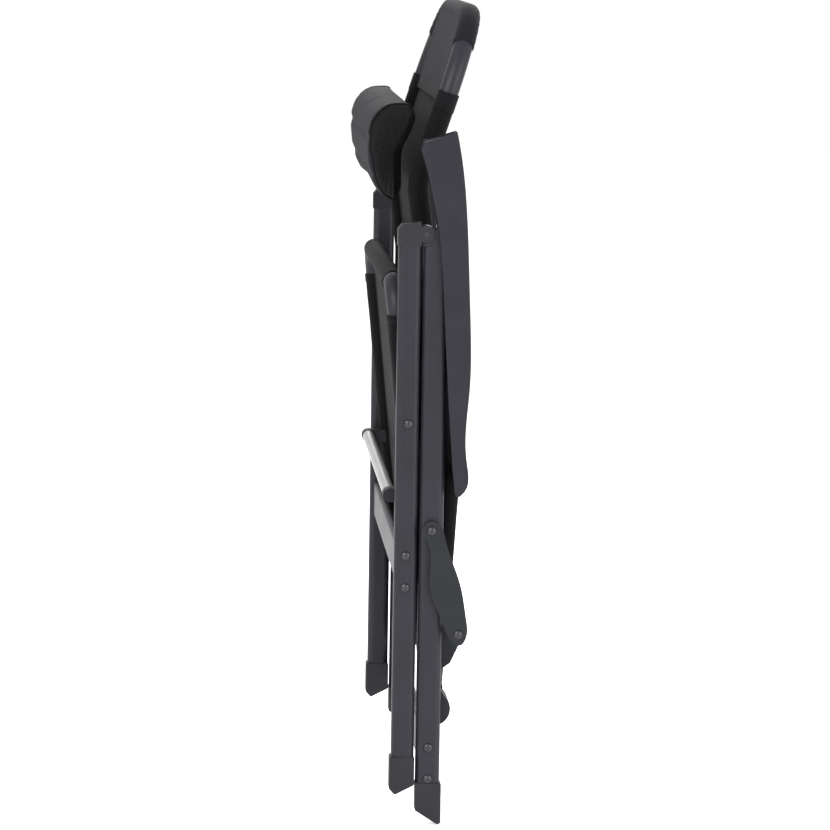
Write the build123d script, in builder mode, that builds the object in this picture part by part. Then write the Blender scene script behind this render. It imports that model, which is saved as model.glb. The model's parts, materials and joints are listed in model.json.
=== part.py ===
from build123d import *
from math import atan2, degrees
import os

# Folding camp chair, folded flat and upright: +Z up, +Y to the rear, X across.
# Every side profile is drawn in one side view, as (y, z) measured from the middle of the rear leg
# and from the floor. FRAME_SHIFT then moves the whole chair so that the origin is under its middle.

os.makedirs("parts", exist_ok=True)

# Frame and stacking across the chair, from the outside inwards
FRAME_SHIFT = -11.65
LEG_X = 301.0
SEAT_X = 274.0
BACK_X = 246.0
LINK_X = 315.0
LINK_THICK = 4.0

# Pivots in the side view, folded
FRAME_PIVOT = (-12.0, 757.0)
SEAT_PIVOT = (-31.4, 517.0)
LINK_PIVOT = (0.0, 381.5)
LINK_END = (35.6, 248.0)
BACK_PIVOT = (7.3, 145.0)
ARM_PIVOT = (35.0, 450.0)

# Tubes
LEG_ACROSS = 22.0
LEG_WALL = 1.5
FRONT_LEG_DEEP = 29.2
REAR_LEG_DEEP = 31.0
FRONT_LEG_Y = -32.4
REAR_LEG_Y = 0.0
TUBE_R = 12.5
TUBE_WALL = 1.4
PIN_R = 3.0
RUNNING = 0.05
FABRIC = 3.0

# The back frame's bends in the side view
BACK_KNEE = (27.0, 443.0)
BACK_NECK = (-21.0, 815.0)
BACK_TOP = (48.5, 1028.0)

SIDES = {"right": 1, "left": -1}


def side_plane(x):
    """The side view at a distance x across: local x runs to the rear, local y runs up."""
    return Plane(origin=(x, -FRAME_SHIFT, 0), x_dir=(0, 1, 0), z_dir=(1, 0, 0))


def at(x, y, z):
    """A side-view point placed in the chair's own frame."""
    return (x, y - FRAME_SHIFT, z)


def save(body, name):
    body.label = name
    export_step(body, f"parts/{name}.step")


def seat_line(z):
    """The seat tube's centre line at a height."""
    rise = (z - BACK_PIVOT[1]) / (SEAT_PIVOT[1] - BACK_PIVOT[1])
    return BACK_PIVOT[0] + (SEAT_PIVOT[0] - BACK_PIVOT[0]) * rise


def between(a, b, t):
    return (a[0] + (b[0] - a[0]) * t, a[1] + (b[1] - a[1]) * t)


def slab(points, x_low, x_high, corner=0.0):
    """A plate whose outline is drawn in the side view, from x_low to x_high."""
    with BuildPart() as plate:
        with BuildSketch(side_plane(x_low)):
            with BuildLine():
                Polyline(*points, close=True)
            make_face()
            if corner:
                fillet(vertices(), corner)
        extrude(amount=x_high - x_low)
    return plate.part


def rod(x_low, x_high, centre, radius):
    """A round bar across the chair."""
    with BuildPart() as bar:
        with BuildSketch(side_plane(x_low)):
            with Locations(centre):
                Circle(radius)
        extrude(amount=x_high - x_low)
    return bar.part


def ordered(side, near, far):
    """The two distances across, mirrored for the left side and sorted."""
    return tuple(sorted((side * near, side * far)))


# ---------------------------------------------------------------- legs
FRONT_LEG_LOW, FRONT_LEG_HIGH = 58.0, 742.0
REAR_LEG_LOW, REAR_LEG_HIGH = 24.0, 742.0


def make_leg(side, name, leg_y, deep, low, high, holes):
    """A flat-sided oval tube, drilled across for its rivets and pivots."""
    with BuildPart() as leg:
        with BuildSketch(Plane.XY.offset(low)):
            with Locations((side * LEG_X, leg_y - FRAME_SHIFT)):
                RectangleRounded(LEG_ACROSS, deep, 8)
                RectangleRounded(LEG_ACROSS - 2 * LEG_WALL, deep - 2 * LEG_WALL, 6.5, mode=Mode.SUBTRACT)
        extrude(amount=high - low)
        with BuildSketch(side_plane(side * LEG_X)):
            for centre, radius in holes:
                with Locations(centre):
                    Circle(radius)
        extrude(amount=LEG_ACROSS, both=True, mode=Mode.SUBTRACT)
    save(leg.part, name)


FRONT_BAR_Z = (353.0, 302.0)
REAR_BAR_Z = (107.0, 55.3)
FRONT_RIVETS = [(FRONT_LEG_Y, 348.0), (FRONT_LEG_Y, 307.0)]
REAR_RIVETS = [(REAR_LEG_Y, 99.8), (REAR_LEG_Y, 58.9)]
RIVET_R = 2.5

for label, side in SIDES.items():
    front_holes = [(point, RIVET_R) for point in FRONT_RIVETS] + [(SEAT_PIVOT, PIN_R + RUNNING)]
    make_leg(
        side, f"front_leg_{label}", FRONT_LEG_Y, FRONT_LEG_DEEP, FRONT_LEG_LOW, FRONT_LEG_HIGH, front_holes
    )
    rear_holes = [(point, RIVET_R) for point in REAR_RIVETS] + [(LINK_PIVOT, PIN_R + RUNNING)]
    make_leg(side, f"rear_leg_{label}", REAR_LEG_Y, REAR_LEG_DEEP, REAR_LEG_LOW, REAR_LEG_HIGH, rear_holes)


def make_foot(side, name, outline, leg_y, deep, low):
    """A moulded shoe with a slanted sole that lies flat on the ground once the chair is open."""
    x_low, x_high = ordered(side, LEG_X - 12.6, LEG_X + 12.6)
    with BuildPart() as foot:
        with BuildSketch(side_plane(x_low)):
            with BuildLine():
                Polyline(*outline, close=True)
            make_face()
            fillet(vertices(), 3)
        extrude(amount=x_high - x_low)
        chamfer(foot.edges().filter_by(GeomType.LINE).group_by(Axis.X)[0], 1.5)
        chamfer(foot.edges().filter_by(GeomType.LINE).group_by(Axis.X)[-1], 1.5)
        with BuildSketch(Plane.XY.offset(low)):
            with Locations((side * LEG_X, leg_y - FRAME_SHIFT)):
                RectangleRounded(LEG_ACROSS, deep, 8)
        extrude(amount=120, mode=Mode.SUBTRACT)
    save(foot.part, name)


FRONT_SOLE = [(-49.2, 88), (-49.2, 46), (-42, 38), (-17.2, 50.78), (-17.2, 88)]
REAR_SOLE = [(-15.9, 54), (-15.9, 17.94), (12, 0), (17.4, 0), (17.4, 54)]

for label, side in SIDES.items():
    make_foot(side, f"front_foot_{label}", FRONT_SOLE, FRONT_LEG_Y, FRONT_LEG_DEEP, FRONT_LEG_LOW)
    make_foot(side, f"rear_foot_{label}", REAR_SOLE, REAR_LEG_Y, REAR_LEG_DEEP, REAR_LEG_LOW)

# ---------------------------------------------------------------- knuckles at the top of the legs
KNUCKLE_X = (289.5, 312.5)
KNUCKLE_MID = 301.0
EAR_R = 11.0
EAR_GAP = 0.4
HY, HZ = FRAME_PIVOT
FRONT_CAP = [(HY - 36, 742), (HY - 36, HZ + 6), (HY - 31, HZ + 12), (HY - 7, HZ + 15), (HY - 6, 742)]
REAR_CAP = [(HY - 3.4, 742), (HY - 0.5, HZ - 1), (HY + 24, HZ + 13), (HY + 27.4, HZ + 9), (HY + 27.4, 742)]


def make_cap(side, name, outline, ear, hole):
    """A moulded end cap with one ear of the knuckle; the other ear's half is cleared round the pin."""
    x_low, x_high = ordered(side, *KNUCKLE_X)
    ear_low, ear_high = ordered(side, *ear)
    with BuildPart() as cap:
        with BuildSketch(side_plane(x_low)):
            with BuildLine():
                Polyline(*outline, close=True)
            make_face()
        extrude(amount=x_high - x_low)
        with BuildSketch(side_plane(x_low)):
            with Locations(FRAME_PIVOT):
                Circle(EAR_R + EAR_GAP)
        extrude(amount=x_high - x_low, mode=Mode.SUBTRACT)
        with BuildSketch(side_plane(ear_low)):
            with Locations(FRAME_PIVOT):
                Circle(EAR_R)
            with BuildLine():
                Polyline(*outline, close=True)
            make_face()
        extrude(amount=ear_high - ear_low)
        with BuildSketch(side_plane(x_low)):
            with Locations(FRAME_PIVOT):
                Circle(hole)
        extrude(amount=x_high - x_low, mode=Mode.SUBTRACT)
    save(cap.part, name)


for label, side in SIDES.items():
    make_cap(side, f"front_leg_cap_{label}", FRONT_CAP, (KNUCKLE_MID + 0.2, KNUCKLE_X[1]), PIN_R + RUNNING)
    make_cap(side, f"rear_leg_cap_{label}", REAR_CAP, (KNUCKLE_X[0], KNUCKLE_MID - 0.2), PIN_R)
    x_low, x_high = ordered(side, *KNUCKLE_X)
    pin = rod(x_low, x_high, FRAME_PIVOT, PIN_R)
    save(pin, f"knuckle_pin_{label}")

# ---------------------------------------------------------------- crossbars, with their rivets
INNER_LEG_X = LEG_X - LEG_ACROSS / 2


def make_crossbar(name, y_front, y_back, z_range):
    """A flat oval tube that butts against the legs' inner faces."""
    deep = y_back - y_front
    tall = z_range[0] - z_range[1]
    with BuildPart() as bar:
        with BuildSketch(side_plane(-INNER_LEG_X)):
            with Locations(((y_front + y_back) / 2, sum(z_range) / 2)):
                RectangleRounded(deep, tall, deep / 2 - 0.2)
                RectangleRounded(
                    deep - 2 * LEG_WALL,
                    tall - 2 * LEG_WALL,
                    deep / 2 - 0.2 - LEG_WALL,
                    mode=Mode.SUBTRACT,
                )
        extrude(amount=2 * INNER_LEG_X)
    save(bar.part, name)


make_crossbar("front_crossbar", -41.5, -29.5, FRONT_BAR_Z)
make_crossbar("rear_crossbar", -6.0, 6.0, REAR_BAR_Z)


def make_rivets(name, centres):
    """One node for identical rivets: a shank through the leg and a domed head outside."""
    with BuildPart() as rivets:
        for side in SIDES.values():
            inner, outer = side * INNER_LEG_X, side * (LEG_X + LEG_ACROSS / 2)
            with BuildSketch(side_plane(inner)):
                with Locations(*centres):
                    Circle(RIVET_R)
            extrude(amount=outer - inner)
            with BuildSketch(side_plane(outer)):
                with Locations(*centres):
                    Circle(4.6)
            extrude(amount=side * 1.8, taper=35)
    save(rivets.part, name)


make_rivets("front_rivets", FRONT_RIVETS)
make_rivets("rear_rivets", REAR_RIVETS)

# ---------------------------------------------------------------- seat
SEAT_LOW, SEAT_HIGH = 168.0, 690.0
SEAT_SLOPE = (SEAT_PIVOT[0] - BACK_PIVOT[0]) / (SEAT_PIVOT[1] - BACK_PIVOT[1])
SEAT_BEND = 34.0
HUB_R = 22.0
HUB_IN, HUB_OUT = SEAT_X - 13.0, SEAT_X + 13.0


def seat_point(x, z):
    return at(x, seat_line(z), z)


with BuildPart() as seat_frame:
    with BuildLine() as seat_path:
        FilletPolyline(
            seat_point(-SEAT_X, SEAT_LOW),
            seat_point(-SEAT_X, SEAT_HIGH),
            seat_point(SEAT_X, SEAT_HIGH),
            seat_point(SEAT_X, SEAT_LOW),
            radius=SEAT_BEND,
        )
    with BuildSketch(Plane(origin=seat_path.line @ 0, z_dir=seat_path.line % 0)):
        Circle(TUBE_R)
        Circle(TUBE_R - TUBE_WALL, mode=Mode.SUBTRACT)
    sweep()
    with BuildSketch(side_plane(0)):
        with Locations(SEAT_PIVOT):
            Circle(PIN_R)
    extrude(amount=SEAT_X + 2 * TUBE_R, both=True, mode=Mode.SUBTRACT)
save(seat_frame.part, "seat_frame")

for label, side in SIDES.items():
    hub_low, hub_high = ordered(side, HUB_IN, HUB_OUT)
    neck = seat_line(SEAT_LOW)
    with BuildPart() as hub:
        with BuildSketch(side_plane(hub_low)):
            with Locations(BACK_PIVOT):
                Circle(HUB_R)
            with BuildLine():
                Polyline(
                    (BACK_PIVOT[0] - 20, BACK_PIVOT[1] + 6),
                    (neck - TUBE_R, SEAT_LOW),
                    (neck + TUBE_R, SEAT_LOW + 2.0),
                    (BACK_PIVOT[0] + 20, BACK_PIVOT[1] + 6),
                    close=True,
                )
            make_face()
        extrude(amount=hub_high - hub_low)
        with BuildSketch(Plane(origin=seat_point(side * SEAT_X, SEAT_LOW), z_dir=(0, SEAT_SLOPE, 1))):
            Rectangle(60, 60)
        extrude(amount=20, mode=Mode.SUBTRACT)
        with BuildSketch(side_plane(hub_low)):
            with Locations(BACK_PIVOT):
                Circle(PIN_R + 1 + RUNNING)
        extrude(amount=hub_high - hub_low, mode=Mode.SUBTRACT)
    save(hub.part, f"seat_hinge_hub_{label}")

    pin_low, pin_high = ordered(side, SEAT_X - TUBE_R + 0.5, LEG_X + LEG_ACROSS / 2)
    with BuildPart() as seat_pin:
        with BuildSketch(side_plane(pin_low)):
            with Locations(SEAT_PIVOT):
                Circle(PIN_R)
        extrude(amount=pin_high - pin_low)
        with BuildSketch(side_plane(side * (LEG_X + LEG_ACROSS / 2 + 0.1))):
            with Locations(SEAT_PIVOT):
                Circle(5.5)
        extrude(amount=side * 2.2, taper=35)
        with BuildSketch(side_plane(side * (LEG_X + LEG_ACROSS / 2))):
            with Locations(SEAT_PIVOT):
                Circle(PIN_R)
        extrude(amount=side * 0.1)
    save(seat_pin.part, f"seat_pivot_pin_{label}")

SPREADER = (-52.0, 421.0)
SPREADER_R = 8.0
STRAP_OUT = SEAT_X - 12.0
with BuildPart() as spreader:
    with BuildSketch(side_plane(-STRAP_OUT)):
        with Locations(SPREADER):
            Circle(SPREADER_R)
            Circle(SPREADER_R - 1.3, mode=Mode.SUBTRACT)
    extrude(amount=2 * STRAP_OUT)
save(spreader.part, "seat_spreader_bar")

for label, side in SIDES.items():
    clip_low, clip_high = ordered(side, STRAP_OUT, STRAP_OUT + 20.0)
    tube_y = seat_line(SPREADER[1])
    with BuildPart() as clip:
        with BuildSketch(side_plane(clip_low)):
            with Locations(SPREADER):
                Circle(SPREADER_R + 1.0)
            with BuildLine():
                Polyline(
                    (SPREADER[0], SPREADER[1] + 9),
                    (tube_y, SPREADER[1] + 9),
                    (tube_y, SPREADER[1] - 9),
                    (SPREADER[0], SPREADER[1] - 9),
                    close=True,
                )
            make_face()
        extrude(amount=clip_high - clip_low)
        with BuildSketch(Plane(origin=seat_point(side * SEAT_X, SPREADER[1] - 40), z_dir=(0, SEAT_SLOPE, 1))):
            Circle(TUBE_R)
        extrude(amount=80, mode=Mode.SUBTRACT)
    save(clip.part.solids().sort_by(Axis.Y)[0], f"seat_spreader_clip_{label}")


def sheet_between(name, centre_line, half_width):
    """A thin closed panel that follows a line of side-view points, and spans the tubes."""
    front = [(y - FABRIC / 2, z) for y, z in centre_line]
    back = [(y + FABRIC / 2, z) for y, z in reversed(centre_line)]
    save(slab(front + back, -half_width, half_width), name)


PANEL_CLEAR = 0.4
seat_cloth = [(seat_line(z), z) for z in (SEAT_LOW + 67, SEAT_HIGH - SEAT_BEND - 1)]
sheet_between("seat_panel", seat_cloth, SEAT_X - TUBE_R - PANEL_CLEAR)

# ---------------------------------------------------------------- backrest
BACK_BEND = 70.0
TOP_BEND = 105.0
GRIP_LOW = between(BACK_NECK, BACK_TOP, 0.42)
BACK_LOW = between(BACK_PIVOT, BACK_KNEE, 0.085)

for label, side in SIDES.items():
    with BuildPart() as back_tube:
        with BuildLine() as back_path:
            FilletPolyline(
                at(side * BACK_X, *BACK_LOW),
                at(side * BACK_X, *BACK_KNEE),
                at(side * BACK_X, *BACK_NECK),
                at(side * BACK_X, *GRIP_LOW),
                radius=BACK_BEND,
            )
        with BuildSketch(Plane(origin=back_path.line @ 0, z_dir=back_path.line % 0)):
            Circle(TUBE_R)
            Circle(TUBE_R - TUBE_WALL, mode=Mode.SUBTRACT)
        sweep()
    save(back_tube.part, f"back_tube_{label}")

    hub_low, hub_high = ordered(side, BACK_X - 12.5, BACK_X + 12.5)
    lean = atan2(BACK_KNEE[1] - BACK_PIVOT[1], BACK_KNEE[0] - BACK_PIVOT[0])
    with BuildPart() as end_fitting:
        with BuildSketch(side_plane(hub_low)):
            with Locations(BACK_PIVOT):
                Circle(HUB_R)
            with Locations(Location((*between(BACK_PIVOT, BACK_LOW, 0.5), 0), degrees(lean) - 90)):
                Rectangle(2 * TUBE_R, 30)
        extrude(amount=hub_high - hub_low)
        with BuildSketch(Plane(origin=back_path.line @ 0, z_dir=back_path.line % 0)):
            Rectangle(80, 80)
        extrude(amount=40, mode=Mode.SUBTRACT)
        with BuildSketch(side_plane(hub_low)):
            with Locations(BACK_PIVOT):
                Circle(PIN_R + 1 + RUNNING)
        extrude(amount=hub_high - hub_low, mode=Mode.SUBTRACT)
    save(end_fitting.part, f"back_hinge_fitting_{label}")

    axle_low, axle_high = ordered(side, BACK_X - 12.5, SEAT_X + 13.0)
    save(rod(axle_low, axle_high, BACK_PIVOT, PIN_R + 1), f"back_hinge_axle_{label}")

with BuildPart() as top_grip:
    with BuildLine() as grip_path:
        FilletPolyline(
            at(-BACK_X, *GRIP_LOW),
            at(-BACK_X, *BACK_TOP),
            at(BACK_X, *BACK_TOP),
            at(BACK_X, *GRIP_LOW),
            radius=TOP_BEND,
        )
    with BuildSketch(Plane(origin=grip_path.line @ 0, z_dir=grip_path.line % 0)):
        Circle(TUBE_R)
        Circle(TUBE_R - TUBE_WALL, mode=Mode.SUBTRACT)
    sweep()
save(top_grip.part, "top_grip")

BACK_BAR = between(BACK_PIVOT, BACK_KNEE, 0.235)
BACK_BAR_HALF = BACK_X - TUBE_R - 0.01
with BuildPart() as lower_bar:
    with BuildSketch(side_plane(-BACK_BAR_HALF)):
        with Locations(BACK_BAR):
            Circle(8.0)
            Circle(6.6, mode=Mode.SUBTRACT)
    extrude(amount=2 * BACK_BAR_HALF)
save(lower_bar.part, "back_lower_bar")

back_cloth = [
    between(BACK_PIVOT, BACK_KNEE, 0.275),
    BACK_KNEE,
    BACK_NECK,
    between(BACK_NECK, BACK_TOP, 0.52),
]
sheet_between("back_panel", back_cloth, BACK_X - TUBE_R - PANEL_CLEAR)

# ---------------------------------------------------------------- links between rear legs and backrest
BRACKET_X = BACK_X + TUBE_R + 0.05
BRACKET_THICK = 4.0
OPEN_PIVOT_GAP = 0.4
BRACKET = [(17, 262), (40, 262), (46, 246), (42, 226), (30, 200), (20, 193), (13, 196), (11.5, 215)]
LINK_SHAPE = [
    (-10.5, 376), (-10.5, 388), (-2, 393.5), (8, 391),
    (18, 369), (38, 310), (45.5, 268), (45, 242),
]
LINK_SHAPE += [(38, 234), (29, 238), (14, 266), (-1.5, 309)]

for label, side in SIDES.items():
    plate_low, plate_high = ordered(side, LINK_X, LINK_X + LINK_THICK)
    with BuildPart() as link:
        with BuildSketch(side_plane(plate_low)):
            with BuildLine():
                Spline(*LINK_SHAPE, periodic=True)
            make_face()
        extrude(amount=plate_high - plate_low)
        with BuildSketch(side_plane(plate_low)):
            with Locations(LINK_PIVOT):
                Circle(PIN_R + RUNNING)
            with Locations(LINK_END):
                Circle(PIN_R)
        extrude(amount=plate_high - plate_low, mode=Mode.SUBTRACT)
    save(link.part, f"link_plate_{label}")

    shank_low, shank_high = ordered(side, INNER_LEG_X, LINK_X + LINK_THICK)
    with BuildPart() as bush:
        with BuildSketch(side_plane(shank_low)):
            with Locations(LINK_PIVOT):
                Circle(PIN_R)
        extrude(amount=shank_high - shank_low)
        with BuildSketch(side_plane(side * (LINK_X + LINK_THICK))):
            with Locations(LINK_PIVOT):
                Circle(5.2)
        extrude(amount=side * 2.2, taper=35)
        with BuildSketch(side_plane(side * (LEG_X + LEG_ACROSS / 2 + 0.2))):
            with Locations(LINK_PIVOT):
                Circle(9.0)
        extrude(amount=side * 2.6)
    save(bush.part, f"link_pivot_{label}")

    low, high = ordered(side, BRACKET_X, BRACKET_X + BRACKET_THICK)
    with BuildPart() as bracket:
        with BuildSketch(side_plane(low)):
            with BuildLine():
                Polyline(*BRACKET, close=True)
            make_face()
            fillet(vertices(), 4)
        extrude(amount=high - low)
        with BuildSketch(side_plane(low)):
            with Locations(LINK_END):
                Circle(PIN_R)
        extrude(amount=high - low, mode=Mode.SUBTRACT)
    save(bracket.part, f"link_bracket_{label}")

    boss_end = LINK_X - OPEN_PIVOT_GAP
    with BuildPart() as link_pin:
        with BuildSketch(side_plane(side * BRACKET_X)):
            with Locations(LINK_END):
                Circle(PIN_R)
        extrude(amount=side * (boss_end - BRACKET_X))
        with BuildSketch(side_plane(side * (BRACKET_X + BRACKET_THICK))):
            with Locations(LINK_END):
                Circle(6.0)
        extrude(amount=side * (boss_end - BRACKET_X - BRACKET_THICK))
    save(link_pin.part, f"link_pin_{label}")

    with BuildPart() as end_rivet:
        with BuildSketch(side_plane(side * LINK_X)):
            with Locations(LINK_END):
                Circle(PIN_R)
        extrude(amount=side * LINK_THICK)
        with BuildSketch(side_plane(side * (LINK_X + LINK_THICK))):
            with Locations(LINK_END):
                Circle(4.8)
        extrude(amount=side * 2.0, taper=35)
    save(end_rivet.part, f"link_end_rivet_{label}")

# ---------------------------------------------------------------- armrests
ARM_X = (283.0, 319.0)
SKIRT = 3.2
ARM_INNER_Y = 24.0
ARM_BACK = [
    (28, 430), (32, 424.5), (38, 428), (43, 470), (45, 560),
    (43.5, 673), (37, 797), (31, 850), (24, 886),
]
ARM_END = (-17, 873)
ARM_EDGE = [(-20, 863), (-3, 797), (12.4, 640), (20, 521), (28, 430)]
CHANNEL = [(ARM_INNER_Y + 10, 486), (ARM_INNER_Y + 6, 640), (ARM_INNER_Y, 700), (ARM_INNER_Y - 4, 900)]
CHANNEL += [(-40, 900), (-40, 486)]
ARM_PIN_R = 4.0
RACK_TEETH = 8
RACK_PITCH = 15.0
RACK_LOW = 745.0

for label, side in SIDES.items():
    arm_low, arm_high = ordered(side, *ARM_X)
    cut_low, cut_high = ordered(side, ARM_X[0] + SKIRT, ARM_X[1] - SKIRT)
    hole_low, hole_high = ordered(side, ARM_X[0], ARM_X[0] + 24)
    with BuildPart() as armrest:
        with BuildSketch(side_plane(arm_low)):
            with BuildLine():
                Spline(*ARM_BACK)
                Polyline(ARM_BACK[-1], ARM_END, ARM_EDGE[0])
                Spline(*ARM_EDGE)
            make_face()
        extrude(amount=arm_high - arm_low)
        rims = armrest.faces().sort_by(Axis.X)
        fillet(rims[0].edges() + rims[-1].edges(), 1.5)
        with BuildSketch(side_plane(cut_low)):
            with BuildLine():
                Polyline(*CHANNEL, close=True)
            make_face()
        extrude(amount=cut_high - cut_low, mode=Mode.SUBTRACT)
        with BuildSketch(side_plane(hole_low)):
            with Locations(ARM_PIVOT):
                Circle(ARM_PIN_R + RUNNING)
        extrude(amount=hole_high - hole_low, mode=Mode.SUBTRACT)
    save(armrest.part, f"armrest_{label}")

    rack_low, rack_high = ordered(side, LEG_X - 6, LEG_X + 6)
    teeth = [(ARM_INNER_Y - 0.5, RACK_LOW)]
    for tooth in range(RACK_TEETH):
        foot = RACK_LOW + tooth * RACK_PITCH
        depth = ARM_INNER_Y - (foot - 700) * 0.02
        teeth += [(depth - 1.6, foot + 2), (depth - 1.6, foot + 9), (depth - 0.8, foot + 13)]
    teeth += [(ARM_INNER_Y + 4, RACK_LOW + RACK_TEETH * RACK_PITCH), (ARM_INNER_Y + 4, RACK_LOW)]
    with BuildPart() as rack:
        add(slab(teeth, rack_low, rack_high))
        add(armrest.part, mode=Mode.SUBTRACT)
    save(rack.part, f"armrest_rack_{label}")

    collar_low, collar_high = ordered(side, BACK_X + TUBE_R + 0.4, ARM_X[0] - 0.4)
    with BuildPart() as arm_pin:
        with BuildSketch(side_plane(side * (BACK_X + TUBE_R + 0.4))):
            with Locations(ARM_PIVOT):
                Circle(ARM_PIN_R)
        extrude(amount=side * (ARM_X[0] + 23.5 - BACK_X - TUBE_R - 0.4))
        with BuildSketch(side_plane(collar_low)):
            with Locations(ARM_PIVOT):
                Circle(8.0)
        extrude(amount=collar_high - collar_low)
    save(arm_pin.part, f"armrest_pivot_{label}")

# ---------------------------------------------------------------- headrest
HEAD_HALF = 247.0
HEADREST = [(-45, 788), (-55, 786), (-68, 800), (-81, 836), (-84, 874), (-75, 905), (-58, 922), (-40, 926)]
HEADREST += [(-24, 925), (-21, 912), (-34, 868), (-42, 830)]
with BuildPart() as headrest:
    with BuildSketch(side_plane(-HEAD_HALF)):
        with BuildLine():
            Spline(*HEADREST, periodic=True)
        make_face()
    extrude(amount=2 * HEAD_HALF)
save(headrest.part, "headrest_cushion")
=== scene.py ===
"""Looks of a folding camp chair, stored folded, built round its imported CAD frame. Metres."""

import json
import math

import bmesh
import bpy
from mathutils import Matrix, Vector
from mathutils.bvhtree import BVHTree


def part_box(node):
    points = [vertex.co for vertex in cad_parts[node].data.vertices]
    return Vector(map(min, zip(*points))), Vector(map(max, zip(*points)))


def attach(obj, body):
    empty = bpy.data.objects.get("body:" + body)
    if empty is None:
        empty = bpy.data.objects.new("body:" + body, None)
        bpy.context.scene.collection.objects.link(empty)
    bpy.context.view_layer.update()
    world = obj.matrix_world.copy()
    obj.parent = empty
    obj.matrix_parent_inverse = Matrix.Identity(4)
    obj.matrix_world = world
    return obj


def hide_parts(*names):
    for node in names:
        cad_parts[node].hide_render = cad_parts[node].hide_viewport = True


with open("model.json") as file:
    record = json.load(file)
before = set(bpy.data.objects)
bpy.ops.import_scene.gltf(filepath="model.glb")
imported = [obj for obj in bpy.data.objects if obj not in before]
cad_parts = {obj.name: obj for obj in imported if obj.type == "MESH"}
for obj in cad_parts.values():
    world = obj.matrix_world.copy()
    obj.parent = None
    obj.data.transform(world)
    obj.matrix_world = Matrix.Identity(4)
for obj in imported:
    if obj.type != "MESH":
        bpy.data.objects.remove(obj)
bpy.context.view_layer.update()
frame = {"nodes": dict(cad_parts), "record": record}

# ------------------------------------------------------------------ places from the frame
# the frame's rear leg stands this far behind its origin
SHIFT = 0.01165
TUBE_R = 0.0125
SLEEVE_R = 0.0136
CLOTH = 0.0016
JOINTS = {joint["name"]: joint for joint in frame["record"]["behaviour"]["joints"]}
HINGE = Vector(JOINTS["back_fold"]["pos_m"])
SEAT_PIVOT = Vector(JOINTS["seat_fold"]["pos_m"])
LINK_PIVOT = Vector(JOINTS["link_fold"]["pos_m"])
BACK_X = sum(corner[0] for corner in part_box("back_tube_right")) / 2
SEAT_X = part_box("seat_frame")[1][0] - TUBE_R
LEG_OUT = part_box("front_leg_right")[1][0]
LINK_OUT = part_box("link_plate_right")[1][0]
SIDES = {"right": 1, "left": -1}


def side_point(y, z):
    """A point of the side view, measured from the middle of the rear leg."""
    return Vector((0, y + SHIFT, z))


BACK_KNEE = side_point(0.027, 0.443)
BACK_NECK = side_point(-0.021, 0.815)
BACK_TOP = side_point(0.0485, 1.028)
SEAT_DIRECTION = (SEAT_PIVOT - HINGE).normalized()
# heights over which a bend of the back frame is eased
BEND_SAMPLES = (-0.012, -0.006, 0.0, 0.006, 0.012)


def seat_at(z):
    """The seat frame's centre line at a height, folded."""
    point = HINGE + SEAT_DIRECTION * ((z - HINGE.z) / SEAT_DIRECTION.z)
    return Vector((0, point.y, point.z))


def seat_path(z_low, z_high, count):
    return [seat_at(z_low + (z_high - z_low) * i / count) for i in range(count + 1)]


def back_path(z_low, z_high, count):
    """The back frame's centre line, eased through its two bends."""
    corners = [HINGE, BACK_KNEE, BACK_NECK, BACK_TOP]
    points = []
    for i in range(count):
        z = z_low + (z_high - z_low) * i / (count - 1)
        y = 0.0
        for offset in BEND_SAMPLES:
            height = z + offset
            a, b = corners[0], corners[1]
            for c, d in zip(corners, corners[1:]):
                if height >= c.z:
                    a, b = c, d
            y += (a.y + (b.y - a.y) * (height - a.z) / (b.z - a.z)) / len(BEND_SAMPLES)
        points.append(Vector((0, y, z)))
    return points


def run_length(path):
    return sum((b - a).length for a, b in zip(path, path[1:]))


def move_to_side(path, x):
    return [Vector((x, point.y, point.z)) for point in path]


def across_line(middle, half, count):
    """Points evenly spaced across the chair, from one side to the other."""
    return [middle + Vector((half * (2 * i / count - 1), 0, 0)) for i in range(count + 1)]


# ------------------------------------------------------------------ materials
def new_material(name, colour, roughness, metallic=0.0):
    """A principled material with its node tree, ready for textures."""
    material = bpy.data.materials.new(name)
    material.use_nodes = True
    nodes, links = material.node_tree.nodes, material.node_tree.links
    shader = nodes["Principled BSDF"]
    shader.inputs["Base Color"].default_value = (*colour, 1)
    shader.inputs["Roughness"].default_value = roughness
    shader.inputs["Metallic"].default_value = metallic
    return material, nodes, links, shader


def noise(nodes, links, scale, detail=3.0, distortion=0.0):
    coords = nodes.new("ShaderNodeTexCoord")
    texture = nodes.new("ShaderNodeTexNoise")
    texture.inputs["Scale"].default_value = scale
    texture.inputs["Detail"].default_value = detail
    texture.inputs["Distortion"].default_value = distortion
    links.new(coords.outputs["Object"], texture.inputs["Vector"])
    return texture


def ramp(nodes, links, source, low, high, at_low=0.3, at_high=0.7):
    node = nodes.new("ShaderNodeValToRGB")
    node.color_ramp.elements[0].position = at_low
    node.color_ramp.elements[1].position = at_high
    node.color_ramp.elements[0].color = (*low, 1)
    node.color_ramp.elements[1].color = (*high, 1)
    links.new(source, node.inputs["Fac"])
    return node


def bump(nodes, links, shader, height, strength, distance, below=None):
    node = nodes.new("ShaderNodeBump")
    node.inputs["Strength"].default_value = strength
    node.inputs["Distance"].default_value = distance
    links.new(height, node.inputs["Height"])
    if below is not None:
        links.new(below.outputs["Normal"], node.inputs["Normal"])
    links.new(node.outputs["Normal"], shader.inputs["Normal"])
    return node


def tint(nodes, links, shader, source, low, high):
    """Varies the base colour between two tones."""
    colour = ramp(nodes, links, source, low, high)
    links.new(colour.outputs["Color"], shader.inputs["Base Color"])


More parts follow.
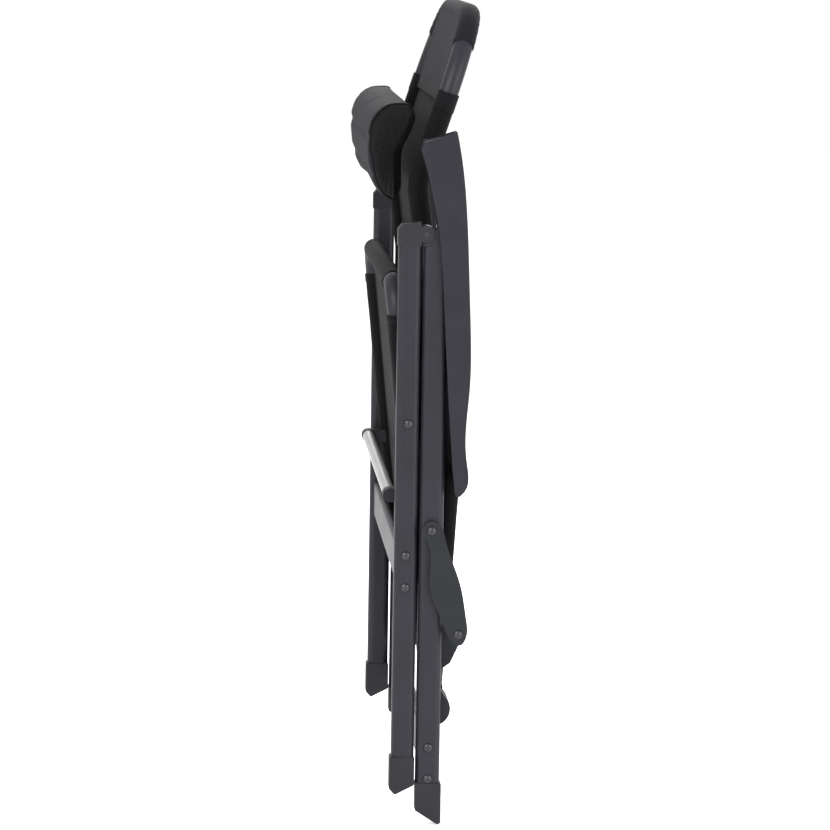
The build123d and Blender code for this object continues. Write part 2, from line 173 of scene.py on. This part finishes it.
def worn(nodes, links, shader, colour, scale, share):
    """Multiplies a colour by soft patches of wear and gives it to the shader."""
    patches = noise(nodes, links, scale, 4.0)
    mix = nodes.new("ShaderNodeMix")
    mix.data_type = "RGBA"
    mix.blend_type = "MULTIPLY"
    mix.inputs["Factor"].default_value = share
    links.new(colour.outputs["Color"], mix.inputs["A"])
    links.new(patches.outputs["Fac"], mix.inputs["B"])
    links.new(mix.outputs["Result"], shader.inputs["Base Color"])


def rough_range(nodes, links, shader, source, low, high):
    node = nodes.new("ShaderNodeMapRange")
    node.inputs["To Min"].default_value = low
    node.inputs["To Max"].default_value = high
    links.new(source, node.inputs["Value"])
    links.new(node.outputs["Result"], shader.inputs["Roughness"])


def coated_metal(name, low, high, roughness):
    """Powder coat: a very fine orange peel, with a little variation in tone and gloss."""
    material, nodes, links, shader = new_material(name, high, roughness)
    shader.inputs["Specular IOR Level"].default_value = 0.26
    tone = noise(nodes, links, 14.0)
    tint(nodes, links, shader, tone.outputs["Fac"], low, high)
    peel = noise(nodes, links, 1500.0, 2.0)
    wave = noise(nodes, links, 320.0, 2.0)
    first = bump(nodes, links, shader, wave.outputs["Fac"], 0.12, 0.0004)
    bump(nodes, links, shader, peel.outputs["Fac"], 0.25, 0.0002, first)
    rough_range(nodes, links, shader, tone.outputs["Fac"], roughness - 0.05, roughness + 0.06)
    return material


def moulded(name, low, high, roughness, grain=2200.0):
    """Moulded plastic with a spark-eroded grain and faint flow marks."""
    material, nodes, links, shader = new_material(name, high, roughness)
    tone = noise(nodes, links, 22.0, 4.0, 0.6)
    tint(nodes, links, shader, tone.outputs["Fac"], low, high)
    texture = noise(nodes, links, grain, 2.0)
    bump(nodes, links, shader, texture.outputs["Fac"], 0.3, 0.0002)
    rough_range(nodes, links, shader, tone.outputs["Fac"], roughness - 0.04, roughness + 0.08)
    shader.inputs["Specular IOR Level"].default_value = 0.24
    return material


def dark_steel():
    """Blackened steel with a fine uneven gloss."""
    material, nodes, links, shader = new_material("black_steel_look", (0.05, 0.05, 0.055), 0.32, 0.9)
    tone = noise(nodes, links, 900.0)
    bump(nodes, links, shader, tone.outputs["Fac"], 0.15, 0.0002)
    rough_range(nodes, links, shader, tone.outputs["Fac"], 0.24, 0.42)
    return material


def woven(name, warp, weft, fineness, roughness=0.78):
    """Two crossed thread waves: warp up the panel and weft across, with a slight unevenness."""
    material, nodes, links, shader = new_material(name, warp, roughness)
    coords = nodes.new("ShaderNodeTexCoord")
    waves = []
    for direction in ("X", "Z"):
        wave = nodes.new("ShaderNodeTexWave")
        wave.wave_type = "BANDS"
        wave.bands_direction = direction
        wave.wave_profile = "SIN"
        wave.inputs["Scale"].default_value = fineness
        wave.inputs["Distortion"].default_value = 0.6
        wave.inputs["Detail Scale"].default_value = 2.0
        links.new(coords.outputs["Object"], wave.inputs["Vector"])
        waves.append(wave)
    cross = nodes.new("ShaderNodeMath")
    cross.operation = "MULTIPLY"
    links.new(waves[0].outputs["Fac"], cross.inputs[0])
    links.new(waves[1].outputs["Fac"], cross.inputs[1])
    colour = ramp(nodes, links, cross.outputs["Value"], weft, warp, 0.05, 0.75)
    worn(nodes, links, shader, colour, 18.0, 0.35)
    bump(nodes, links, shader, cross.outputs["Value"], 0.55, 0.0006)
    shader.inputs["Specular IOR Level"].default_value = 0.10
    shader.inputs["Sheen Weight"].default_value = 0.02
    shader.inputs["Sheen Roughness"].default_value = 0.5
    return material


def knitted(name, low, high, pitch):
    """Spacer knit: small round cells with darker holes between them."""
    material, nodes, links, shader = new_material(name, high, 0.85)
    coords = nodes.new("ShaderNodeTexCoord")
    cells = nodes.new("ShaderNodeTexVoronoi")
    cells.inputs["Scale"].default_value = 1 / pitch
    cells.inputs["Randomness"].default_value = 0.25
    links.new(coords.outputs["Object"], cells.inputs["Vector"])
    holes = ramp(nodes, links, cells.outputs["Distance"], high, low, 0.25, 0.75)
    worn(nodes, links, shader, holes, 26.0, 0.4)
    folds = noise(nodes, links, 34.0, 3.0, 0.8)
    first = bump(nodes, links, shader, folds.outputs["Fac"], 0.25, 0.004)
    bump(nodes, links, shader, cells.outputs["Distance"], 0.5, 0.0008, first)
    shader.inputs["Sheen Weight"].default_value = 0.02
    shader.inputs["Specular IOR Level"].default_value = 0.12
    return material


FRAME_TONES = (0.0095, 0.0096, 0.0135), (0.013, 0.0132, 0.0185)
ARM_TONES = (0.0085, 0.0086, 0.0130), (0.011, 0.0112, 0.0165)
LINK_TONES = (0.0072, 0.0085, 0.0110), (0.0095, 0.011, 0.014)
SHOE_TONES = (0.0105, 0.0106, 0.0135), (0.0145, 0.0147, 0.018)
# the spreader bar's light grey is partly its own bare metal and partly painted reflection: the tone is
# lifted to stand in for the light it reflects
BARE_METAL_AND_REFLECTION_TONES = (0.26, 0.26, 0.26), (0.34, 0.34, 0.34)
MESH_TONES = (0.0050, 0.0050, 0.0060), (0.0018, 0.0018, 0.0022)
HEADREST_TONES = (0.0055, 0.0055, 0.0080), (0.012, 0.012, 0.017)
GUSSET_TONES = (0.0018, 0.0018, 0.0020), (0.0085, 0.0085, 0.0090)
BINDING_TONES = (0.0065, 0.0065, 0.0080), (0.003, 0.003, 0.004)
THREAD_TONES = (0.010, 0.010, 0.012), (0.015, 0.015, 0.018)
LOOKS = {
    "frame_paint": coated_metal("frame_paint_look", *FRAME_TONES, 0.46),
    "arm_plastic": moulded("arm_plastic_look", *ARM_TONES, 0.42),
    "link_plastic": moulded("link_plastic_look", *LINK_TONES, 0.48),
    "shoe_plastic": moulded("shoe_plastic_look", *SHOE_TONES, 0.55, 1200.0),
    # bare metal whose light grey is partly painted reflection
    "bare_metal": coated_metal("bare_metal_reflection_look", *BARE_METAL_AND_REFLECTION_TONES, 0.36),
    "black_steel": dark_steel(),
    "mesh_fabric": woven("mesh_fabric_look", *MESH_TONES, 260.0),
    "headrest_fabric": knitted("headrest_look", *HEADREST_TONES, 0.0016),
    "gusset": knitted("gusset_look", *GUSSET_TONES, 0.0034),
    "binding": woven("binding_look", *BINDING_TONES, 420.0, 0.7),
    "thread": moulded("thread_look", *THREAD_TONES, 0.6, 900.0),
}

for row in frame["record"]["subparts"]:
    shown = frame["nodes"][row["node"]]
    shown.data.materials.clear()
    shown.data.materials.append(LOOKS[row["material_slot"]])


# ------------------------------------------------------------------ mesh helpers
def finish_piece(mesh, name, look, body, smooth=True, replaces=None):
    """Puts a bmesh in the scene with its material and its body."""
    bmesh.ops.recalc_face_normals(mesh, faces=mesh.faces)
    data = bpy.data.meshes.new(name)
    mesh.to_mesh(data)
    mesh.free()
    piece = bpy.data.objects.new(name, data)
    bpy.context.scene.collection.objects.link(piece)
    data.materials.append(LOOKS[look])
    for polygon in data.polygons:
        polygon.use_smooth = smooth
    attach(piece, body)
    if replaces:
        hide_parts(replaces)
    return piece


def loft(mesh, rings):
    """Skins a list of closed rings of points and caps both ends."""
    rows = [[mesh.verts.new(point) for point in ring] for ring in rings]
    count = len(rows[0])
    for a, b in zip(rows, rows[1:]):
        for i in range(count):
            j = (i + 1) % count
            mesh.faces.new((a[i], a[j], b[j], b[i]))
    mesh.faces.new(rows[0])
    mesh.faces.new(list(reversed(rows[-1])))


def tube_rings(points, radius, sides, bulge=None):
    """Round sections square to a path."""
    rings = []
    for i, point in enumerate(points):
        before, after = points[max(i - 1, 0)], points[min(i + 1, len(points) - 1)]
        along = (after - before).normalized()
        across = Vector((0, 0, 1)) if abs(along.x) > 0.9 else Vector((1, 0, 0))
        across = (across - along * across.dot(along)).normalized()
        normal = along.cross(across)
        ring = []
        for k in range(sides):
            angle = 2 * math.pi * k / sides
            r = radius if bulge is None else bulge(i / (len(points) - 1), angle)
            ring.append(point + across * (r * math.cos(angle)) + normal * (r * math.sin(angle)))
        rings.append(ring)
    return rings


def round_piece(points, radius, name, look, body, sides, bulge=None):
    """A piece of round section along a path."""
    mesh = bmesh.new()
    loft(mesh, tube_rings(points, radius, sides, bulge))
    return finish_piece(mesh, name, look, body)


# ------------------------------------------------------------------ fabric on the tubes
STITCH_LENGTH = 0.0042
STITCH_GAP = 0.0018
STITCH_R = 0.00045


def stitches(path, name, body):
    """A row of separate raised stitches along a path."""
    mesh = bmesh.new()
    step = STITCH_LENGTH + STITCH_GAP

    def along(distance):
        for a, b in zip(path, path[1:]):
            run = (b - a).length
            if distance <= run:
                return a.lerp(b, distance / run)
            distance -= run
        return path[-1]

    for i in range(int(run_length(path) / step)):
        start = i * step
        middle = along(start + STITCH_LENGTH / 2)
        loft(mesh, tube_rings([along(start), middle, along(start + STITCH_LENGTH)], STITCH_R, 5))
    return finish_piece(mesh, name, "thread", body)


def sheet_panel(path, half, name, body, node, sag):
    """A taut woven sheet: the middle bellies a little and the ends pull in between the tubes."""
    columns = 44
    mesh = bmesh.new()
    front, back = [], []
    last = len(path) - 1
    for i, point in enumerate(path):
        t = i / last
        before, after = path[max(i - 1, 0)], path[min(i + 1, last)]
        along = (after - before).normalized()
        normal = Vector((0, along.z, -along.y))
        pull = 0.004 * (1 - math.sin(math.pi * t)) ** 4
        for side, store in ((1, front), (-1, back)):
            line = []
            for k in range(columns + 1):
                u = 2 * k / columns - 1
                belly = sag * (1 - u * u) * math.sin(math.pi * t)
                ripple = 0.0006 * math.sin(9 * u + 4 * t) * math.sin(math.pi * t)
                end = pull * (1 - u * u) * (1 if t < 0.5 else -1)
                offset = belly + ripple + side * CLOTH / 2
                line.append(point + Vector((u * half, 0, 0)) + normal * offset + along * end)
            store.append(line)
    rings = [a + list(reversed(b)) for a, b in zip(front, back)]
    loft(mesh, rings)
    return finish_piece(mesh, name, "mesh_fabric", body, replaces=node)


def sleeve_shape(t, angle):
    """A fabric sleeve's radius: slightly loose, with faint pulls along its seam."""
    return SLEEVE_R + 0.0003 * math.sin(3 * angle + 18 * t) * math.sin(24 * t)


def sleeve(path, name, body):
    round_piece(path, SLEEVE_R, name, "mesh_fabric", body, TUBE_SIDES, sleeve_shape)


def cuff(path, name, body):
    round_piece(path, CUFF_R, name, "binding", body, TUBE_SIDES)


TUBE_SIDES = 28
CUFF_R = SLEEVE_R + 0.0007
TUCK = 0.0004
BELLY = 0.003
SEAM_IN = 0.021
SEAM_ROWS = (SEAM_IN, SEAM_IN + 0.006)
SEAM_LIFT = 0.0011
BACK_HALF = BACK_X - TUBE_R + TUCK
SEAT_HALF = SEAT_X - TUBE_R + TUCK
back_line = back_path(0.268, 0.932, 60)
panel_line = back_path(0.229, 0.930, 60)
seat_line = seat_path(0.237, 0.674, 40)
seat_sleeve_line = seat_path(0.200, 0.652, 40)
back_fabric = sheet_panel(panel_line, BACK_HALF, "back_fabric", "backrest", "back_panel", BELLY)
seat_fabric = sheet_panel(seat_line, SEAT_HALF, "seat_fabric", "seat", "seat_panel", -BELLY)
for label, side in SIDES.items():
    at_back = move_to_side(back_line, side * BACK_X)
    at_seat = move_to_side(seat_sleeve_line, side * SEAT_X)
    sleeve(at_back, f"back_sleeve_{label}", "backrest")
    sleeve(at_seat, f"seat_sleeve_{label}", "seat")
    for row, inset in enumerate(SEAM_ROWS):
        for face, lift in (("front", -SEAM_LIFT), ("rear", SEAM_LIFT)):
            seam = [Vector((side * (BACK_X - inset), p.y + lift, p.z)) for p in back_line]
            stitches(seam, f"back_seam_{face}_{row + 1}_{label}", "backrest")
    hem = [Vector((side * (SEAT_X - SEAM_IN), p.y - SEAM_LIFT, p.z)) for p in seat_line[1:-1]]
    stitches(hem, f"seat_seam_{label}", "seat")
    cuff(at_back[:3], f"back_cuff_low_{label}", "backrest")
    cuff(at_back[-3:], f"back_cuff_high_{label}", "backrest")
    cuff(at_seat[-2:], f"seat_cuff_{label}", "seat")

# the seat's front hem wraps the frame's front bar between its bends
FRONT_HALF = SEAT_X - 0.036
FRONT_BAR_Z = 0.690
FRONT_SEAM_Z = 0.669
sleeve(across_line(seat_at(FRONT_BAR_Z), FRONT_HALF, 60), "seat_front_hem", "seat")
front_seam = seat_at(FRONT_SEAM_Z) + Vector((0, -0.0012, 0))
stitches(across_line(front_seam, FRONT_HALF, 60), "seat_front_seam", "seat")

# bindings close the back fabric's two ends
BINDING_R = 0.0022
for name, point in (("back_binding_low", panel_line[0]), ("back_binding_high", panel_line[-1])):
    edge = across_line(point, BACK_X - TUBE_R - 0.001, 40)
    round_piece(edge, BINDING_R, name, "binding", "backrest", 12)

# ------------------------------------------------------------------ headrest
# the end panels are seated this far inside the cushion's box
END_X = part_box("headrest_cushion")[1][0] - 0.004
HEAD_PROFILE = [
    (-0.045, 0.788), (-0.055, 0.786), (-0.068, 0.800), (-0.081, 0.836), (-0.084, 0.874), (-0.075, 0.905),
    (-0.058, 0.922), (-0.040, 0.926), (-0.024, 0.925), (-0.021, 0.912), (-0.034, 0.868), (-0.042, 0.830),
]
HEAD_MID = side_point(-0.055, 0.858)
# how much smaller the cover starts, and the most that its points may swell
PUFF = 0.006
PUFF_CAP = 0.006
VOXEL = 0.006
CLOTH_FRAMES = 20
CREASES = (0.828, 0.872)
CREASE_DEEP = 0.0035
CREASE_WIDE = 0.0035
PIPING_R = 0.0021
PIPING_IN = 0.0060


def smooth_outline(points, steps):
    """A closed Catmull-Rom curve through the side-view points."""
    out = []
    count = len(points)
    for i in range(count):
        p0, p1, p2, p3 = (points[(i + k) % count] for k in (-1, 0, 1, 2))
        for s in range(steps):
            t = s / steps
            out.append(0.5 * (2 * p1 + (p2 - p0) * t + (2 * p0 - 5 * p1 + 4 * p2 - p3) * t * t
                              + (3 * p1 - p0 - 3 * p2 + p3) * t * t * t))
    return out


HEAD_OUTLINE = smooth_outline([side_point(y, z) for y, z in HEAD_PROFILE], 8)


def head_ring(x, grow):
    """The headrest's outline at a distance across, moved in or out from its middle."""
    ring = []
    for point in HEAD_OUTLINE:
        arm = point - HEAD_MID
        ring.append(HEAD_MID + arm * (1 + grow / arm.length) + Vector((x, 0, 0)))
    return ring


def make_headrest():
    """A foam-filled knit cover: lofted across the chair, puffed by a short cloth simulation."""
    stations = 56
    rings = []
    for i in range(stations + 1):
        u = 2 * i / stations - 1
        edge = max(0.0, (abs(u) - 0.965) / 0.035)
        rings.append(head_ring(u * END_X, -PUFF - 0.006 * edge * edge))
    mesh = bmesh.new()
    loft(mesh, rings)
    piece = finish_piece(
        mesh, "headrest", "headrest_fabric", "headrest", replaces="headrest_cushion"
    )
    puff(piece)
    for vertex in piece.data.vertices:
        point = vertex.co
        facing = max(0.0, min(1.0, (HEAD_MID.y - point.y) / 0.02))
        for height in CREASES:
            wander = height + 0.002 * math.sin(17 * point.x)
            point.y += CREASE_DEEP * facing * math.exp(-(((point.z - wander) / CREASE_WIDE) ** 2))
    subdivide = piece.modifiers.new("smooth", "SUBSURF")
    subdivide.levels = subdivide.render_levels = 1
    return piece


def puff(piece):
    """Remeshes the cushion, swells it under pressure, and caps how far each point may move."""
    bpy.context.view_layer.objects.active = piece
    piece.select_set(True)
    remesh = piece.modifiers.new("remesh", "REMESH")
    remesh.mode = "VOXEL"
    remesh.voxel_size = VOXEL
    bpy.ops.object.modifier_apply(modifier="remesh")
    before = [vertex.co.copy() for vertex in piece.data.vertices]
    cloth = piece.modifiers.new("cloth", "CLOTH")
    cloth.settings.use_pressure = True
    cloth.settings.uniform_pressure_force = 4.0
    cloth.settings.effector_weights.gravity = 0.0
    cloth.settings.quality = 4
    scene = bpy.context.scene
    for number in range(1, CLOTH_FRAMES + 1):
        scene.frame_set(number)
    bpy.ops.object.modifier_apply(modifier="cloth")
    scene.frame_set(1)
    for vertex, old in zip(piece.data.vertices, before):
        move = vertex.co - old
        if move.length > PUFF_CAP:
            vertex.co = old + move * (PUFF_CAP / move.length)
    for polygon in piece.data.polygons:
        polygon.use_smooth = True
    piece.select_set(False)


headrest = make_headrest()
COVER = BVHTree.FromPolygons(
    [vertex.co.copy() for vertex in headrest.data.vertices],
    [list(polygon.vertices) for polygon in headrest.data.polygons],
)
for label, side in SIDES.items():
    ring = head_ring(side * (END_X - PIPING_IN), -PUFF)
    piping = [COVER.find_nearest(point)[0] for point in ring]
    rim = [HEAD_MID.lerp(Vector((0, point.y, point.z)), 0.97) for point in piping]
    piping.append(piping[0])
    round_piece(
        piping, PIPING_R, f"headrest_piping_{label}", "binding", "headrest", 10
    )
    gusset = bmesh.new()
    domes = ((-0.0055, 1.0), (0.0004, 0.985), (0.0022, 0.93), (0.0032, 0.80), (0.0038, 0.45))
    loft(gusset, [
        [HEAD_MID.lerp(point, share) + Vector((side * (END_X + out), 0, 0)) for point in rim]
        for out, share in domes
    ])
    end_panel = finish_piece(gusset, f"headrest_gusset_{label}", "gusset", "headrest")

# ------------------------------------------------------------------ cover over the top grip
GRIP_BEND = 0.105
GRIP_RISE = (BACK_TOP - BACK_NECK).normalized()
GRIP_FACE = Vector((0, -GRIP_RISE.z, GRIP_RISE.y))
COVER_R = TUBE_R + 0.0016
COVER_TURN = math.radians(52)
COVER_DROP = 0.118


def make_grip_cover():
    """The knit sleeve round the grip's bar, carried a little way round both bends."""
    steps = 16
    rings = []
    for side in (-1, 1):
        centre = BACK_TOP - GRIP_RISE * GRIP_BEND + Vector((side * (BACK_X - GRIP_BEND), 0, 0))
        turns = [COVER_TURN * k / steps for k in range(steps + 1)]
        for angle in (reversed(turns) if side < 0 else turns):
            radial = Vector((side * math.sin(angle), 0, 0)) + GRIP_RISE * math.cos(angle)
            ring = []
            for k in range(TUBE_SIDES):
                phi = 2 * math.pi * k / TUBE_SIDES
                r = COVER_R + 0.0003 * math.sin(3 * phi + 40 * angle)
                middle = centre + radial * GRIP_BEND
                ring.append(middle + radial * (r * math.cos(phi)) + GRIP_FACE * (r * math.sin(phi)))
            rings.append(ring)
    mesh = bmesh.new()
    loft(mesh, rings)
    return finish_piece(mesh, "grip_cover", "headrest_fabric", "backrest")


def make_grip_flap():
    """The cover's flap: a taut sheet from the bar down to the back fabric's top edge."""
    rows, columns = 36, 40
    front, back = [], []
    for i in range(rows + 1):
        drop = COVER_DROP * i / rows
        reach = GRIP_BEND - min(drop, GRIP_BEND)
        half = BACK_X - GRIP_BEND + math.sqrt(GRIP_BEND ** 2 - reach ** 2)
        half -= (TUBE_R + 0.0006) * min(1.0, drop / 0.03)
        forward = 0.0125 - 0.0085 * i / rows
        for side, store in ((1, front), (-1, back)):
            line = []
            for k in range(columns + 1):
                u = 2 * k / columns - 1
                dish = 0.0020 * (1 - u * u) * math.sin(math.pi * i / rows)
                lift = forward - dish + side * CLOTH / 2
                line.append(BACK_TOP - GRIP_RISE * drop + GRIP_FACE * lift + Vector((u * half, 0, 0)))
            store.append(line)
    mesh = bmesh.new()
    loft(mesh, [a + list(reversed(b)) for a, b in zip(front, back)])
    piece = finish_piece(mesh, "grip_flap", "headrest_fabric", "backrest")


make_grip_cover()
make_grip_flap()

# ------------------------------------------------------------------ screw heads
HEAD_R = 0.0058
HEAD_TALL = 0.0030
HEX_R = 0.0023


def screw_head(mesh, point, side):
    """A button head turned about the chair's X axis, with a hexagonal socket sunk in it."""
    profile = [(HEAD_R, 0.0), (HEAD_R, 0.0005), (HEAD_R * 0.93, 0.0015), (HEAD_R * 0.74, 0.0024)]
    profile += [(HEAD_R * 0.52, HEAD_TALL), (HEX_R * 1.12, HEAD_TALL)]
    profile += [(HEX_R, HEAD_TALL - 0.0003), (HEX_R, 0.0012)]
    sides = 30
    rings = []
    for radius, height in profile:
        ring = []
        for k in range(sides):
            angle = 2 * math.pi * k / sides
            r = radius
            if radius <= HEX_R:
                wedge = math.pi / 3
                r = radius * math.cos(wedge / 2) / math.cos(angle % wedge - wedge / 2)
            ring.append(point + Vector((side * height, r * math.cos(angle), r * math.sin(angle))))
        rings.append(ring)
    loft(mesh, rings)


FRONT_LEG_MID = sum(corner[1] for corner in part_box("front_leg_right")) / 2
REAR_LEG_MID = sum(corner[1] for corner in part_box("rear_leg_right")) / 2
LINK_END = Vector([sum(pair) / 2 for pair in zip(*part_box("link_end_rivet_right"))])


RIVET_REACH = 0.0046


def rivet_heights(node):
    """The heights of a pair of rivets, from their node's box."""
    low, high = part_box(node)
    return low[2] + RIVET_REACH, high[2] - RIVET_REACH


HEADS = [
    ("front_screws", "front_legs", [(FRONT_LEG_MID, z) for z in rivet_heights("front_rivets")], LEG_OUT),
    ("rear_screws", "rear_legs", [(REAR_LEG_MID, z) for z in rivet_heights("rear_rivets")], LEG_OUT),
    ("seat_pivot_screws", "seat", [(SEAT_PIVOT.y, SEAT_PIVOT.z)], LEG_OUT + 0.0002),
    ("link_pivot_screws", "links", [(LINK_PIVOT.y, LINK_PIVOT.z)], LINK_OUT),
    ("link_end_screws", "links", [(LINK_END.y, LINK_END.z)], LINK_OUT),
]
for name, body, places, out in HEADS:
    for label, side in SIDES.items():
        heads = bmesh.new()
        for y, z in places:
            screw_head(heads, Vector((side * out, y, z)), side)
        finish_piece(heads, f"{name}_{label}", "black_steel", body, smooth=False)

# ------------------------------------------------------------------ floor, light and camera
white = bpy.data.materials.new("studio_white")
white.use_nodes = True
white_inputs = white.node_tree.nodes["Principled BSDF"].inputs
white_inputs["Base Color"].default_value = (0.93, 0.93, 0.93, 1)
white_inputs["Roughness"].default_value = 0.9
white_inputs["Emission Color"].default_value = (1, 1, 1, 1)
white_inputs["Emission Strength"].default_value = 0.35
floor_mesh = bmesh.new()
bmesh.ops.create_grid(floor_mesh, x_segments=1, y_segments=1, size=14)
floor_data = bpy.data.meshes.new("floor")
floor_mesh.to_mesh(floor_data)
floor_mesh.free()
floor = bpy.data.objects.new("floor", floor_data)
floor.location.z = -0.002
floor_data.materials.append(white)
bpy.context.scene.collection.objects.link(floor)

world = bpy.data.worlds.new("studio")
bpy.context.scene.world = world
world.use_nodes = True
sky_inputs = world.node_tree.nodes["Background"].inputs
sky_inputs["Color"].default_value = (1, 1, 1, 1)
sky_inputs["Strength"].default_value = 1.0


MIDDLE = Vector((0, 0, 0.55))


def area_light(name, place, size, power):
    """A square lamp aimed at the middle of the chair."""
    data = bpy.data.lights.new(name, "AREA")
    data.energy = power
    data.size = size
    lamp = bpy.data.objects.new(name, data)
    lamp.location = place
    lamp.rotation_euler = (MIDDLE - Vector(place)).to_track_quat("-Z", "Y").to_euler()
    bpy.context.scene.collection.objects.link(lamp)


area_light("key", (3.0, -2.2, 2.6), 1.8, 125)
area_light("fill", (2.6, 2.8, 1.4), 2.2, 80)
area_light("back", (-2.8, 0.6, 2.2), 2.0, 80)

CAMERA_PLACE = Vector((4.971, -0.313, 1.154))
CAMERA_AZIMUTH = math.radians(-3.70)
CAMERA_ELEVATION = math.radians(7.63)
CAMERA_ROLL = math.radians(0.91)
LENS_MM = 161.9
camera_data = bpy.data.cameras.new("camera")
camera_data.sensor_width = 36.0
camera_data.lens = LENS_MM
camera = bpy.data.objects.new("camera", camera_data)
out = Vector((
    math.cos(CAMERA_ELEVATION) * math.cos(CAMERA_AZIMUTH),
    math.cos(CAMERA_ELEVATION) * math.sin(CAMERA_AZIMUTH),
    math.sin(CAMERA_ELEVATION),
))
turn = out.to_track_quat("Z", "Y").to_matrix() @ Matrix.Rotation(CAMERA_ROLL, 3, "Z")
camera.matrix_world = Matrix.Translation(CAMERA_PLACE) @ turn.to_4x4()
bpy.context.scene.collection.objects.link(camera)
bpy.context.scene.camera = camera
bpy.context.scene.view_settings.view_transform = "Standard"
